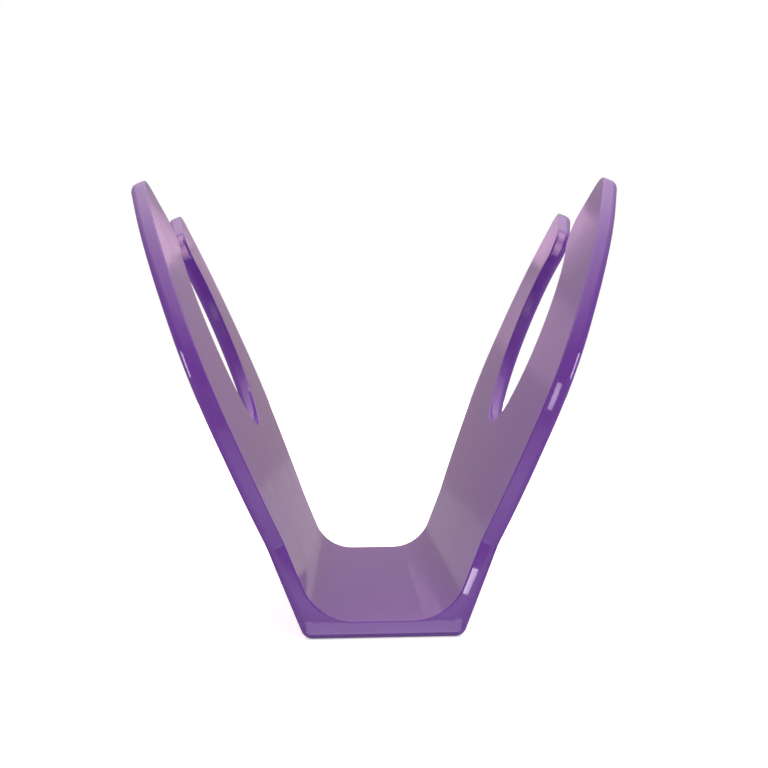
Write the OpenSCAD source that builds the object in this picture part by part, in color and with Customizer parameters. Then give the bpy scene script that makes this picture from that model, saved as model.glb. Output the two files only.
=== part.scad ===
// Taco holder: one moulded shell, V-shaped from the end, with two facing lobes on each wall.
// Y runs along the trough, X across it and Z up. The origin is the middle of the base's underside.

/* [Base and trough] */
// Length of the flat base along the trough
base_length = 83.6; // [78:0.2:90]
// Width of the base, measured to the sharp corners under its rounded edges
base_width = 25.8; // [24:0.1:34]
// Thickness of the trough's floor
floor_thickness = 3; // [2.2:0.1:4]
// Radius of the two long edges that the base stands between
foot_radius = 2; // [1.6:0.1:3]
// Radius between the trough's floor and its walls
trough_radius = 9; // [5:0.5:10]

/* [Walls] */
// Lean of each wall away from the vertical, in degrees
wall_lean = 21.85; // [18:0.05:28]
// Thickness of each wall
wall_thickness = 3; // [2.4:0.1:3.4]
// Rounding of the rim on the walls' outer side
outer_rim_radius = 1.3; // [0.5:0.05:1.5]
// Rounding of the rim on the walls' inner side
inner_rim_radius = 0.25; // [0.15:0.05:0.8]

/* [Lobes, with heights measured up the slope of the wall] */
// Height at which a lobe leaves the square end of the base
lobe_start = 15.7; // [14:0.1:18]
// How far the belly of a lobe stands out beyond the base, before it is rounded
belly_overhang = 11.34; // [9:0.02:13]
// Height of the belly
belly_height = 45.2; // [43:0.1:47]
// Radius of the belly
belly_radius = 24.2; // [18:0.1:30]
// Height of the crest of a lobe, before it is rounded
crest_height = 84.4; // [83:0.1:87]
// Distance from the holder's middle to the crest
crest_distance = 21.4; // [20:0.1:23]
// Radius of the crest
crest_radius = 7; // [5:0.1:8]

/* [Finger openings, with heights measured up the slope of the wall] */
// Gap between the tips of two facing lobes
tip_gap = 16.7; // [13:0.1:19]
// Radius of a lobe's tip
tip_radius = 4.4; // [3.8:0.1:5]
// Height of the centre of a lobe's tip
tip_height = 74.2; // [73:0.1:75]
// Radius of the round opening below the tips
opening_radius = 19.3; // [17:0.1:20.5]

/* [Hidden] */

purple = [0.45, 0.30, 0.60];
half_base = base_length / 2;
half_width = base_width / 2;

// How finely bends are drawn: degrees a step, and the fewest steps in one bend
bend_step = 5;
least_steps = 4;
outer_rim_steps = 4;
inner_rim_steps = 3;
trough_steps = 10;

// Small or flat bends and the places of the gentle corners of a lobe's outer edge
lobe_start_radius = 1.5;
flank_radius = 60;
flank_rise = 8.25;
flank_overhang = 0.413 * belly_overhang;
shoulder_radius = 60;
shoulder_drop = 15.2;
shoulder_distance = half_base - 0.9;

// The straight end of the base stops at the seam, a little below the start of the lobes
seam_height = lobe_start - 3;

function direction(angle) = [cos(angle), sin(angle)];
function heading(from, to) = atan2(to[1] - from[1], to[0] - from[0]);

// The smaller turn between two headings, and the turn that goes to the left all the way
function turn(first, second) = second - first - 360 * round((second - first) / 360);
function left_turn(first, second) = second - first - 360 * floor((second - first) / 360);

// An arc as outline points, each with its distance from the holder's middle, its height up the
// slope and the outward normal there. A left turn has the wall inside the arc, a right turn outside
function arc(centre, radius, start, sweep) =
    let (steps = max(least_steps, ceil(abs(sweep) / bend_step)))
    [
        for (i = [0:steps])
            let (
                ray = direction(start + sweep * i / steps),
                normal = sign(sweep) * ray
            )
            concat(centre + radius * ray, normal)
    ];

// The arc that rounds a corner between its two neighbours
function rounded_corner(before, corner, after, radius) =
    let (
        first = heading(before, corner),
        sweep = turn(first, heading(corner, after)),
        reach = radius * tan(abs(sweep) / 2),
        to_centre = first + 90 * sign(sweep)
    )
    arc(
        corner - reach * direction(first) + radius * direction(to_centre),
        radius,
        to_centre + 180,
        sweep
    );

// The tip of a lobe and the round opening touch each other, and the back of the lobe is a straight
// line from the crest to the tip
crest = [crest_distance, crest_height];
tip_centre = [tip_gap / 2 + tip_radius, tip_height];
opening_drop = sqrt(pow(opening_radius + tip_radius, 2) - pow(tip_centre[0], 2));
opening_centre = [0, tip_height - opening_drop];
back_heading = heading(crest, tip_centre) - asin(tip_radius / norm(tip_centre - crest));
back_end = tip_centre + tip_radius * direction(back_heading - 90);
tip_sweep = left_turn(back_heading - 90, heading(tip_centre, opening_centre));
opening_start = heading(opening_centre, tip_centre);

// Corners of a lobe's outer edge, from the seam to the crest, with the radius that rounds each
lobe_corners = [
    [half_base, seam_height, 0],
    [half_base, lobe_start, lobe_start_radius],
    [half_base + flank_overhang, lobe_start + flank_rise, flank_radius],
    [half_base + belly_overhang, belly_height, belly_radius],
    [shoulder_distance, crest_height - shoulder_drop, shoulder_radius],
    [crest[0], crest[1], crest_radius],
    [back_end[0], back_end[1], 0]
];

// Half of a wall's outline, from the seam over the lobe to the lowest point of the opening
half_outline = concat(
    [[half_base, seam_height, 1, 0]],
    [
        for (i = [1:len(lobe_corners) - 2])
            let (c = lobe_corners[i])
            each rounded_corner(lobe_corners[i - 1], c, lobe_corners[i + 1], c[2])
    ],
    arc(tip_centre, tip_radius, back_heading - 90, tip_sweep),
    [
        for (p = arc(opening_centre, opening_radius, opening_start, -90 - opening_start))
            if (p[1] < opening_centre[1] + opening_radius * sin(opening_start) - 0.01) p
    ]
);

// A place on the rim: a point of the outer face and the way into the wall from it, the same for
// the inner face, and the way out of the wall's edge. side is 1 to the right, end is 1 at the rear
function wall_place(p, side, end) =
    let (
        along = [0, end, 0],
        up = [side * sin(wall_lean), 0, cos(wall_lean)],
        inward = [-side * cos(wall_lean), 0, sin(wall_lean)],
        outer = [side * half_width, 0, 0] + p[0] * along + p[1] * up
    )
    [outer, inward, outer + wall_thickness * inward, -inward, p[2] * along + p[3] * up];

// Centres of the foot and trough bends: both are rounded from the wall's slope to the level
bend = 90 - wall_lean;
foot_centre = [half_width - foot_radius * tan(bend / 2), foot_radius];
inner_slope_shift = (wall_thickness - floor_thickness * sin(wall_lean)) / cos(wall_lean);
trough_corner = half_width - inner_slope_shift;
trough_centre = [
    trough_corner - trough_radius * tan(bend / 2),
    floor_thickness + trough_radius
];

function base_place(angle, side, end) =
    let (
        ray = [side * sin(angle), 0, -cos(angle)],
        outer = [side * foot_centre[0], end * half_base, foot_centre[1]] + foot_radius * ray,
        inner = [side * trough_centre[0], end * half_base, trough_centre[1]] + trough_radius * ray
    )
    [outer, -ray, inner, ray, [0, end, 0]];

function backwards(list) = [for (i = [len(list) - 1:-1:0]) list[i]];
function all_but_last(list) = [for (i = [0:len(list) - 2]) list[i]];

// One wall's rim from its seam at one end to its seam at the other
function wall_rim(side, from) = concat(
    [for (p = all_but_last(half_outline)) wall_place(p, side, from)],
    [for (p = backwards(half_outline)) wall_place(p, side, -from)]
);

// The base's end from one foot to the other
function base_rim(from, end) = concat(
    [for (i = [0:trough_steps]) base_place(bend * (1 - i / trough_steps), from, end)],
    [for (i = [0:trough_steps]) base_place(bend * i / trough_steps, -from, end)]
);

// The whole rim as one closed loop: right wall, rear end, left wall, front end
rim = concat(wall_rim(1, -1), base_rim(1, 1), wall_rim(-1, 1), base_rim(-1, -1));
rim_count = len(rim);
wall_count = 2 * len(half_outline) - 1;
base_count = 2 * (trough_steps + 1);

// Loops of points around the rim, from the outer face over the rounded edge to the inner face
function outer_loop(angle) = [
    for (p = rim)
        p[0] + outer_rim_radius * (1 - cos(angle)) * p[1] - outer_rim_radius * (1 - sin(angle)) * p[4]
];
function inner_loop(angle) = [
    for (p = rim)
        p[2] + inner_rim_radius * (1 - cos(angle)) * p[3] - inner_rim_radius * (1 - sin(angle)) * p[4]
];
loops = concat(
    [for (i = [0:outer_rim_steps]) outer_loop(90 * i / outer_rim_steps)],
    [for (i = [inner_rim_steps:-1:0]) inner_loop(90 * i / inner_rim_steps)]
);

// Triangles of the rim between two neighbouring loops
rim_faces = [
    for (k = [0:len(loops) - 2])
        for (i = [0:rim_count - 1])
            let (
                j = (i + 1) % rim_count,
                low = k * rim_count,
                high = low + rim_count
            )
            each [[low + i, high + i, high + j], [low + i, high + j, low + j]]
];

// Half a wall in triangles. Both sides of a lobe only rise towards the crest, so the triangles
// climb between them and step next to whichever side has the lower next point
function outside_is_lower(i, j) = half_outline[i + 1][1] < half_outline[j - 1][1];
half_faces = [
    for (
        i = 0, j = len(half_outline) - 1, step = 0;
        i + 1 < j;
        step = outside_is_lower(i, j) ? 1 : 0, i = i + step, j = j - 1 + step
    )
        outside_is_lower(i, j) ? [i, i + 1, j] : [i, j - 1, j]
];

// A wall whose places on the rim start at the given one, and the strips of the base between its
// front and rear end
function wall_faces(start) = concat(
    [[start, start + len(half_outline) - 1, start + wall_count - 1]],
    [for (f = half_faces) [for (i = f) start + i]],
    [for (f = half_faces) [for (i = backwards(f)) start + wall_count - 1 - i]]
);
front_places = [for (i = [0:base_count + 1]) (rim_count - i) % rim_count];
rear_places = [for (i = [0:base_count + 1]) wall_count - 1 + i];
skin_faces = concat(
    wall_faces(0),
    wall_faces(wall_count + base_count),
    [
        for (i = [0:base_count])
            each [
                [front_places[i], rear_places[i], rear_places[i + 1]],
                [front_places[i], rear_places[i + 1], front_places[i + 1]]
            ]
    ]
);

// The same faces on the last loop, turned over, are the inner face
inner_start = (len(loops) - 1) * rim_count;
inner_faces = [for (f = skin_faces) [for (i = backwards(f)) i + inner_start]];

module taco_holder() {
    color(purple)
        polyhedron(
            points = [for (loop = loops) each loop],
            faces = concat(rim_faces, skin_faces, inner_faces),
            convexity = 8
        );
}

taco_holder();
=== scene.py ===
import math

import bpy
from mathutils import Matrix, Vector

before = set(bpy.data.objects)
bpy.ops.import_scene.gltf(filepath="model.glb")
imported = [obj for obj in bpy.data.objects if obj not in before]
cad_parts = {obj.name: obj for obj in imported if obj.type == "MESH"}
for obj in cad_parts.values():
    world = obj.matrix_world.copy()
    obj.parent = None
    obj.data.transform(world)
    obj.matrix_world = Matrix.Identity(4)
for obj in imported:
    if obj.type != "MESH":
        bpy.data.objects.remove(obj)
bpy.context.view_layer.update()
scene = bpy.context.scene
scene.view_settings.view_transform = "Standard"

# Camera: where the photograph was taken from, in metres and degrees, and its lens, with the focal
# length and the optical centre in pixels of the image and the sensor in millimetres
IMAGE_SIZE = 768
CAMERA_PLACE = Vector((-0.005343, -0.221308, 0.040606))
CAMERA_YAW = 1.705
CAMERA_ROLL = 0.732
FOCAL_PIXELS = 1113.35
SENSOR_WIDTH = 36.0
CENTRE_PIXEL = (381.13, 387.457)
NEAREST_SEEN = 0.01

UPWARD = (0.0, 0.0, 1.0)


def make_camera():
    yaw = math.radians(CAMERA_YAW)
    roll = math.radians(CAMERA_ROLL)
    forward = Vector((math.sin(yaw), math.cos(yaw), 0.0))
    level_right = Vector((math.cos(yaw), -math.sin(yaw), 0.0))
    level_up = Vector(UPWARD)
    right = level_right * math.cos(roll) - level_up * math.sin(roll)
    up = level_right * math.sin(roll) + level_up * math.cos(roll)
    data = bpy.data.cameras.new("camera")
    data.sensor_width = SENSOR_WIDTH
    data.lens = FOCAL_PIXELS / IMAGE_SIZE * SENSOR_WIDTH
    data.shift_x = (IMAGE_SIZE / 2 - CENTRE_PIXEL[0]) / IMAGE_SIZE
    data.shift_y = (CENTRE_PIXEL[1] - IMAGE_SIZE / 2) / IMAGE_SIZE
    data.clip_start = NEAREST_SEEN
    camera = bpy.data.objects.new("camera", data)
    rotation = Matrix((right, up, -forward)).transposed()
    camera.matrix_world = Matrix.Translation(CAMERA_PLACE) @ rotation.to_4x4()
    scene.collection.objects.link(camera)
    scene.camera = camera


make_camera()


def new_material(name):
    material = bpy.data.materials.new(name)
    material.use_nodes = True
    nodes = material.node_tree.nodes
    for node in list(nodes):
        nodes.remove(node)
    output = nodes.new("ShaderNodeOutputMaterial")
    return material, nodes, material.node_tree.links, output


# Plastic: the pigment's two shades, its refraction, and how much light scatters below the surface,
# in which proportions of the colours and how deep in metres
PIGMENT_DARK = (0.115, 0.033, 0.300, 1.0)
PIGMENT_LIGHT = (0.131, 0.040, 0.332, 1.0)
PLASTIC_IOR = 1.55
SCATTER_WEIGHT = 0.1
SCATTER_COLOURS = (1.0, 0.5, 0.9)
SCATTER_DEPTH = 0.0012

# Patterns of noise: features in a metre, detail, and how much each axis counts
EVENLY = (1.0, 1.0, 1.0)
DRIFT = (30.0, 3.0, (1.0, 0.35, 1.0))
WEAR = (90.0, 5.0, EVENLY)
WAVES = (60.0, 0.0, EVENLY)
UPRIGHT_SCRATCHES = (700.0, 1.0, (1.0, 1.0, 0.04))
LEVEL_SCRATCHES = (700.0, 1.0, (1.0, 0.04, 1.0))
GRAIN = (1800.0, 2.0, EVENLY)

# The part of a pattern's range that is used, and the roughness that wear gives
DRIFT_RANGE = (0.3, 0.7)
WEAR_RANGE = (0.35, 0.75)
WORN_ROUGHNESS = (0.07, 0.13)
SCRATCH_RANGE = (0.68, 0.72)
SCRATCH_HEIGHT = (1.0, 0.0)

# Relief: the strength and the height in metres
WAVES_RELIEF = (0.1, 0.0001)
SCRATCH_RELIEF = (0.05, 0.00001)
GRAIN_RELIEF = (0.02, 0.00001)


def add_noise(nodes, links, place, pattern):
    scale, detail, stretch = pattern
    mapping = nodes.new("ShaderNodeMapping")
    mapping.inputs["Scale"].default_value = stretch
    links.new(place.outputs["Object"], mapping.inputs["Vector"])
    noise = nodes.new("ShaderNodeTexNoise")
    noise.inputs["Scale"].default_value = scale
    noise.inputs["Detail"].default_value = detail
    links.new(mapping.outputs["Vector"], noise.inputs["Vector"])
    return noise.outputs["Fac"]


def map_range(nodes, links, value, source, target):
    node = nodes.new("ShaderNodeMapRange")
    node.inputs["From Min"].default_value = source[0]
    node.inputs["From Max"].default_value = source[1]
    node.inputs["To Min"].default_value = target[0]
    node.inputs["To Max"].default_value = target[1]
    links.new(value, node.inputs["Value"])
    return node.outputs["Result"]


def add_bump(nodes, links, height, relief, below=None):
    bump = nodes.new("ShaderNodeBump")
    bump.inputs["Strength"].default_value = relief[0]
    bump.inputs["Distance"].default_value = relief[1]
    links.new(height, bump.inputs["Height"])
    if below is not None:
        links.new(below, bump.inputs["Normal"])
    return bump.outputs["Normal"]


def plastic_material():
    material, nodes, links, output = new_material("purple_plastic")
    shader = nodes.new("ShaderNodeBsdfPrincipled")
    shader.inputs["IOR"].default_value = PLASTIC_IOR
    shader.inputs["Subsurface Weight"].default_value = SCATTER_WEIGHT
    shader.inputs["Subsurface Radius"].default_value = SCATTER_COLOURS
    shader.inputs["Subsurface Scale"].default_value = SCATTER_DEPTH
    links.new(shader.outputs["BSDF"], output.inputs["Surface"])
    place = nodes.new("ShaderNodeTexCoord")

    # Colour: the pigment drifts a little along the flow of the moulding
    drift = add_noise(nodes, links, place, DRIFT)
    colours = nodes.new("ShaderNodeValToRGB")
    shades = zip(colours.color_ramp.elements, DRIFT_RANGE, (PIGMENT_DARK, PIGMENT_LIGHT))
    for element, position, pigment in shades:
        element.position = position
        element.color = pigment
    links.new(drift, colours.inputs["Fac"])
    links.new(colours.outputs["Color"], shader.inputs["Base Color"])

    # Gloss: polished, with patches that are rubbed a little duller
    wear = add_noise(nodes, links, place, WEAR)
    roughness = map_range(nodes, links, wear, WEAR_RANGE, WORN_ROUGHNESS)
    links.new(roughness, shader.inputs["Roughness"])

    # Relief: gentle waves of the moulded skin, fine scratches two ways and a very fine grain
    relief = add_bump(nodes, links, add_noise(nodes, links, place, WAVES), WAVES_RELIEF)
    for pattern in (UPRIGHT_SCRATCHES, LEVEL_SCRATCHES):
        noise = add_noise(nodes, links, place, pattern)
        scratches = map_range(nodes, links, noise, SCRATCH_RANGE, SCRATCH_HEIGHT)
        relief = add_bump(nodes, links, scratches, SCRATCH_RELIEF, relief)
    relief = add_bump(nodes, links, add_noise(nodes, links, place, GRAIN), GRAIN_RELIEF, relief)
    links.new(relief, shader.inputs["Normal"])
    return material


# Vertices nearer to each other than this, in metres, are one
WELD_DISTANCE = 0.000002


def smooth_modifier(thing):
    tree = bpy.data.node_groups.new("smooth_shell", "GeometryNodeTree")
    tree.interface.new_socket("Geometry", in_out="INPUT", socket_type="NodeSocketGeometry")
    tree.interface.new_socket("Geometry", in_out="OUTPUT", socket_type="NodeSocketGeometry")
    start = tree.nodes.new("NodeGroupInput")
    weld = tree.nodes.new("GeometryNodeMergeByDistance")
    weld.inputs["Distance"].default_value = WELD_DISTANCE
    smooth = tree.nodes.new("GeometryNodeSetShadeSmooth")
    end = tree.nodes.new("NodeGroupOutput")
    tree.links.new(start.outputs[0], weld.inputs["Geometry"])
    tree.links.new(weld.outputs["Geometry"], smooth.inputs["Geometry"])
    tree.links.new(smooth.outputs["Geometry"], end.inputs[0])
    modifier = thing.modifiers.new("smooth_shell", "NODES")
    modifier.node_group = tree
    weighted = thing.modifiers.new("weighted_normals", "WEIGHTED_NORMAL")
    weighted.mode = "FACE_AREA_WITH_ANGLE"
    weighted.weight = 100
    weighted.keep_sharp = False


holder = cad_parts["taco_holder"]
holder.data.materials.clear()
holder.data.materials.append(plastic_material())
smooth_modifier(holder)


# The floor: its colour, the glow that makes it white to the camera alone, and its colour in
# reflections, a darker painted shade so that it blends with the room's dim walls
FLOOR_COLOUR = (0.9, 0.9, 0.9, 1.0)
FLOOR_GLOW = 0.6
FLOOR_SHADE_IN_REFLECTIONS = (0.32, 0.30, 0.36, 1.0)
FLOOR_HALF_SIZE = 3.0
FLOOR_HEIGHT = -0.00003

# A soft pool of light painted on the floor before the object as a glow of its material, which only
# reflections show
POOL_CENTRE = (0.0, -0.071, 0.0)
POOL_REACH = (0.065, 0.047, 1.0)
POOL_GLOW = 1.25


def add_math(nodes, links, operation, *values):
    node = nodes.new("ShaderNodeMath")
    node.operation = operation
    for socket, value in zip(node.inputs, values):
        if isinstance(value, bpy.types.NodeSocket):
            links.new(value, socket)
        else:
            socket.default_value = value
    return node.outputs["Value"]


def add_pool(nodes, links):
    place = nodes.new("ShaderNodeTexCoord")
    centred = nodes.new("ShaderNodeMapping")
    centred.vector_type = "TEXTURE"
    centred.inputs["Location"].default_value = POOL_CENTRE
    centred.inputs["Scale"].default_value = POOL_REACH
    links.new(place.outputs["Object"], centred.inputs["Vector"])
    fading = nodes.new("ShaderNodeTexGradient")
    fading.gradient_type = "SPHERICAL"
    links.new(centred.outputs["Vector"], fading.inputs["Vector"])
    return fading.outputs["Fac"]


def floor_material():
    material, nodes, links, output = new_material("floor_white")
    light_path = nodes.new("ShaderNodeLightPath")
    seen = light_path.outputs["Is Camera Ray"]
    reflected = light_path.outputs["Is Glossy Ray"]
    # In reflections the floor takes a darker colour: painted shade
    colour = nodes.new("ShaderNodeMixRGB")
    colour.inputs["Color1"].default_value = FLOOR_COLOUR
    colour.inputs["Color2"].default_value = FLOOR_SHADE_IN_REFLECTIONS
    links.new(reflected, colour.inputs["Fac"])
    diffuse = nodes.new("ShaderNodeBsdfDiffuse")
    links.new(colour.outputs["Color"], diffuse.inputs["Color"])
    white = add_math(nodes, links, "MULTIPLY", seen, FLOOR_GLOW)
    # The painted pool of light: the floor glows before the object, for reflections alone
    pool = add_math(nodes, links, "MULTIPLY", add_pool(nodes, links), reflected)
    glow = nodes.new("ShaderNodeEmission")
    links.new(add_math(nodes, links, "MULTIPLY_ADD", pool, POOL_GLOW, white), glow.inputs["Strength"])
    both = nodes.new("ShaderNodeAddShader")
    links.new(diffuse.outputs["BSDF"], both.inputs[0])
    links.new(glow.outputs["Emission"], both.inputs[1])
    links.new(both.outputs["Shader"], output.inputs["Surface"])
    return material


def make_floor():
    mesh = bpy.data.meshes.new("floor")
    corners = [
        (x * FLOOR_HALF_SIZE, y * FLOOR_HALF_SIZE, FLOOR_HEIGHT)
        for x, y in ((-1, -1), (1, -1), (1, 1), (-1, 1))
    ]
    mesh.from_pydata(corners, [], [(0, 1, 2, 3)])
    mesh.materials.append(floor_material())
    floor = bpy.data.objects.new("floor", mesh)
    scene.collection.objects.link(floor)


make_floor()

# The studio's light by the sine of the height above the horizon, where the rear counts as a little
# higher: dim walls, and a bright ceiling with a clear edge. The camera sees plain white instead
REAR_SHARE = 0.12
ROOM_LIGHT = [
    (0.0, (0.37, 0.28, 0.31)),
    (0.2, (0.40, 0.30, 0.33)),
    (0.38, (0.46, 0.36, 0.38)),
    (0.5, (0.80, 0.66, 0.66)),
    (0.675, (1.00, 0.86, 0.84)),
    (0.70, (1.55, 1.30, 1.22)),
    (0.85, (2.10, 1.80, 1.66)),
    (1.0, (2.80, 2.38, 2.12)),
]
BRIGHTEST = 3.0
PLAIN_WHITE = (1.0, 1.0, 1.0, 1.0)


def make_world():
    world = bpy.data.worlds.new("studio")
    scene.world = world
    world.use_nodes = True
    nodes = world.node_tree.nodes
    links = world.node_tree.links
    for node in list(nodes):
        nodes.remove(node)
    output = nodes.new("ShaderNodeOutputWorld")
    light_path = nodes.new("ShaderNodeLightPath")
    place = nodes.new("ShaderNodeTexCoord")
    height = nodes.new("ShaderNodeVectorMath")
    height.operation = "DOT_PRODUCT"
    height.inputs[1].default_value = (0.0, REAR_SHARE, 1.0)
    links.new(place.outputs["Generated"], height.inputs[0])
    ramp = nodes.new("ShaderNodeValToRGB")
    elements = ramp.color_ramp.elements
    while len(elements) < len(ROOM_LIGHT):
        elements.new(0.5)
    for element, (level, colour) in zip(elements, ROOM_LIGHT):
        element.position = level
        element.color = tuple(c / BRIGHTEST for c in colour) + (1.0,)
    links.new(height.outputs["Value"], ramp.inputs["Fac"])
    room = nodes.new("ShaderNodeBackground")
    room.inputs["Strength"].default_value = BRIGHTEST
    links.new(ramp.outputs["Color"], room.inputs["Color"])
    white = nodes.new("ShaderNodeBackground")
    white.inputs["Color"].default_value = PLAIN_WHITE
    white.inputs["Strength"].default_value = 1.0
    mix = nodes.new("ShaderNodeMixShader")
    links.new(light_path.outputs["Is Camera Ray"], mix.inputs["Fac"])
    links.new(room.outputs["Background"], mix.inputs[1])
    links.new(white.outputs["Background"], mix.inputs[2])
    links.new(mix.outputs["Shader"], output.inputs["Surface"])


make_world()


def area_lamp(name, place, facing, along, size, radiance, colour):
    data = bpy.data.lights.new(name, "AREA")
    data.shape = "RECTANGLE"
    data.size = size[0]
    data.size_y = size[1]
    data.energy = math.pi * size[0] * size[1] * radiance
    data.color = colour
    lamp = bpy.data.objects.new(name, data)
    back = -Vector(facing).normalized()
    lengthwise = (Vector(along) - back * back.dot(Vector(along))).normalized()
    rotation = Matrix((lengthwise.cross(back), lengthwise, back)).transposed()
    lamp.matrix_world = Matrix.Translation(place) @ rotation.to_4x4()
    lamp.visible_camera = False
    scene.collection.objects.link(lamp)
    return lamp


# The key light: one large softbox to the front right, which reflections don't show
KEY_PLACE = (0.45, -0.12, 0.42)
KEY_FACING = (-0.45, 0.12, -0.38)
KEY_SIZE = (0.4, 0.4)
KEY_RADIANCE = 1.15
KEY_COLOUR = (1.0, 0.91, 0.92)

key = area_lamp("key_softbox", KEY_PLACE, KEY_FACING, UPWARD, KEY_SIZE, KEY_RADIANCE, KEY_COLOUR)
key.visible_glossy = False

MM = 0.001
REARWARD = (0.0, 1.0, 0.0)
SIDEWAYS = (1.0, 0.0, 0.0)
CARD_COLOUR = (1.0, 0.88, 0.98)
PANEL_COLOUR = (1.0, 0.60, 0.95)
TIP_COLOUR = (1.0, 0.64, 0.64)
WIDEST_ANGLE = 180

# How far the walls lean away from the vertical
WALL_LEAN = math.radians(21.85)


def up_the_wall(side):
    return (math.sin(WALL_LEAN) * side, 0.0, math.cos(WALL_LEAN))


# A card is a lamp that only reflections show. Its place and its width and length are in
# millimetres. It shines within an angle in degrees and reaches its radiance straight ahead
def card(name, place, facing, along, size, radiance, colour, angle):
    lamp = area_lamp(name, Vector(place) * MM, facing, along, Vector(size) * MM, radiance, colour)
    lamp.visible_diffuse = False
    lamp.visible_transmission = False
    if angle < WIDEST_ANGLE:
        half = math.radians(angle / 2)
        lamp.data.spread = 2 * half
        lamp.data.energy *= 1 - half / math.tan(half)


# Highlights on the flat of the front rim: on the belly of the right lobe and above the right foot
card("belly_card", place=(26.9, -54.15, 38.4), facing=(0.033, 0.996, 0.082), along=(0.371, -0.088, 0.925),
     size=(1.0, 5.6), radiance=10.0, colour=CARD_COLOUR, angle=60)
card("foot_card", place=(14.5, -44.8, 8.5), facing=REARWARD, along=up_the_wall(1),
     size=(1.4, 4.5), radiance=16.0, colour=CARD_COLOUR, angle=60)

# Slivers of light on the outer rounding of the right and the left lobe
card("right_card", place=(34.3, -52.3, 43.15), facing=(-0.96, 0.276, 0.05), along=(0.3, 0.14, 0.76),
     size=(2.5, 5.4), radiance=9.0, colour=CARD_COLOUR, angle=90)
card("left_card", place=(-34.8, -52.0, 44.35), facing=(0.96, 0.276, 0.05), along=(-0.3, 0.14, 0.76),
     size=(2.5, 5.4), radiance=9.0, colour=CARD_COLOUR, angle=90)

# The pale strip along the lower edge of the base's front
card("strip_card", place=(0.0, -43.35, 1.25), facing=(0.0, 0.64, 0.77), along=SIDEWAYS,
     size=(3.0, 27.0), radiance=2.4, colour=CARD_COLOUR, angle=120)

# Far panels behind the object, for the sheen of the walls' inner faces
card("back_panel", place=(18.0, 1000.0, 300.0), facing=(-0.048, -1.0, -0.24), along=UPWARD,
     size=(86.0, 78.0), radiance=0.55, colour=PANEL_COLOUR, angle=WIDEST_ANGLE)
card("low_panel", place=(-82.5, 1000.0, 210.0), facing=(0.1, -1.0, -0.17), along=UPWARD,
     size=(135.0, 80.0), radiance=0.15, colour=PANEL_COLOUR, angle=WIDEST_ANGLE)

# The light on the tips of the rear lobes: on their edge and on the edge's upper end
for side, label in ((-1, "left"), (1, "right")):
    card(label + "_tip_card", place=(39.4 * side, 4.0, 69.5), facing=REARWARD, along=up_the_wall(side),
         size=(3.6, 20.0), radiance=7.0, colour=TIP_COLOUR, angle=100)
    card(label + "_tip_top_card", place=(41.1 * side, 7.1, 74.6), facing=(-0.4 * side, 0.45, -0.78),
         along=(0.0, 0.87, 0.5), size=(2.8, 6.0), radiance=6.0, colour=TIP_COLOUR, angle=80)
